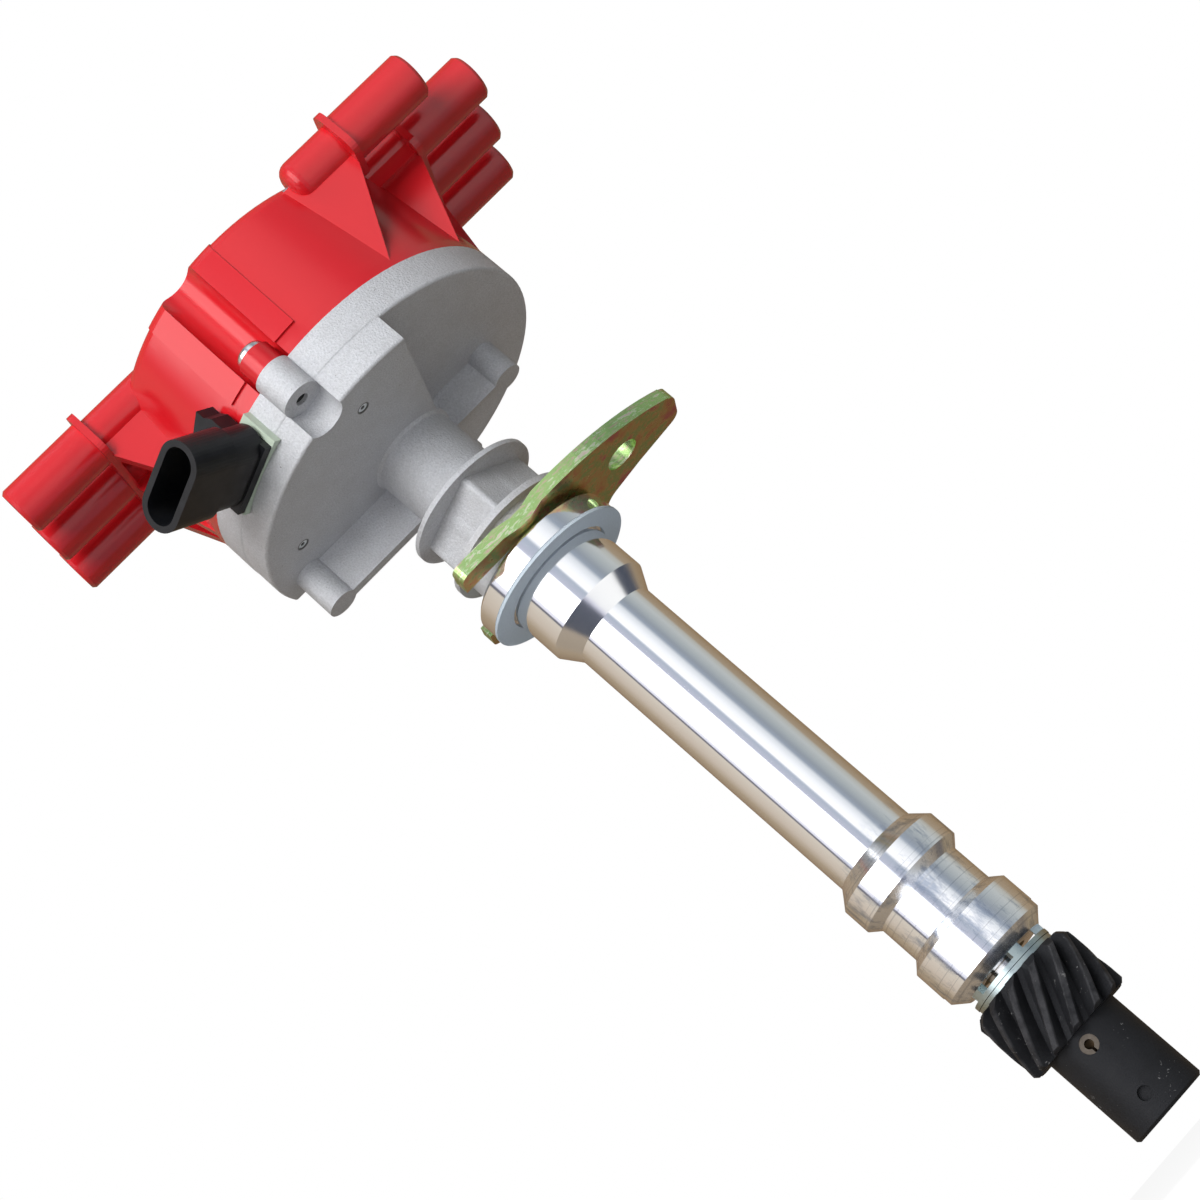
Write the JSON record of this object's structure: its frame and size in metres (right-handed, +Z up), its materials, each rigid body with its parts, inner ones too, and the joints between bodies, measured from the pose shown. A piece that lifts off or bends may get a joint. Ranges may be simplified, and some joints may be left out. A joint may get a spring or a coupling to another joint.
{
  "type": "ignition distributor",
  "caption": "Gear-driven ignition distributor with a side-tower cap, sensor connector, long sealed spigot and hold-down clamp.",
  "frame": {"origin": "centre of the mounting gasket's lower face, where it meets the engine's pad", "axes": "+Z up the shaft from the gear to the cap; X along the plug towers, with the coil tower on the +X side; -Y is the side that the coil tower stands on"},
  "size_m": [0.1842, 0.1314, 0.3475],
  "materials": {
    "red_moulding": "semi-gloss moulded",
    "terminal_metal": "bare stamped",
    "carbon": null,
    "spring_steel": "bright wire",
    "bright_zinc": "bright zinc plate",
    "cast_aluminium": "as cast above, turned bright below",
    "black_moulding": "satin moulded",
    "seal_rubber": "pale moulded rubber",
    "pin_brass": "tinned brass",
    "rotor_moulding": "moulded",
    "plain_steel": "turned",
    "black_rubber": "moulded rubber",
    "bushing_bronze": "sintered bronze",
    "washer_zinc": "zinc plate",
    "black_phosphate": "black phosphate, lightly scuffed",
    "yellow_chromate": "yellow chromate with a green and pink sheen",
    "gasket_paper": null
  },
  "bodies": {
    "housing_assembly": {"distributor_cap": "red_moulding", "plug_terminals": "terminal_metal", "coil_terminal": "terminal_metal", "cap_screws": "bright_zinc", "housing": "cast_aluminium", "sensor_connector": "black_moulding", "connector_seal": "seal_rubber", "connector_pins": "pin_brass", "hall_sensor": "black_moulding", "sensor_screws": "bright_zinc", "oil_seal": "black_rubber", "upper_bushing": "bushing_bronze", "lower_bushing": "bushing_bronze", "tanged_washer": "washer_zinc", "mounting_gasket": "gasket_paper"},
    "shaft_assembly": {"main_shaft": "plain_steel", "rotor_plate": "plain_steel", "shutter_wheel": "plain_steel", "rotor": "rotor_moulding", "rotor_blade": "pin_brass", "rotor_screws": "bright_zinc", "drive_gear": "black_phosphate", "roll_pin": "black_phosphate", "thrust_washer": "washer_zinc"},
    "clamp": {"hold_down_clamp": "yellow_chromate"},
    "button": {"carbon_button": "carbon", "button_spring": "spring_steel"}
  },
  "joints": [
    {"name": "shaft_spin", "type": "hinge", "parent": "housing_assembly", "child": "shaft_assembly", "pos_m": [0, 0, 0], "axis": [0, 0, 1], "continuous": true},
    {"name": "clamp_swivel", "type": "hinge", "parent": "housing_assembly", "child": "clamp", "pos_m": [0, 0, 0.011], "axis": [0, 0, 1], "continuous": true},
    {"name": "button_slide", "type": "slide", "parent": "housing_assembly", "child": "button", "axis": [0, 0, 1], "range_m": [0, 0.0015], "stiffness_N_per_m": 300, "springref_m": -0.003, "deforming": ["button_spring"]}
  ]
}
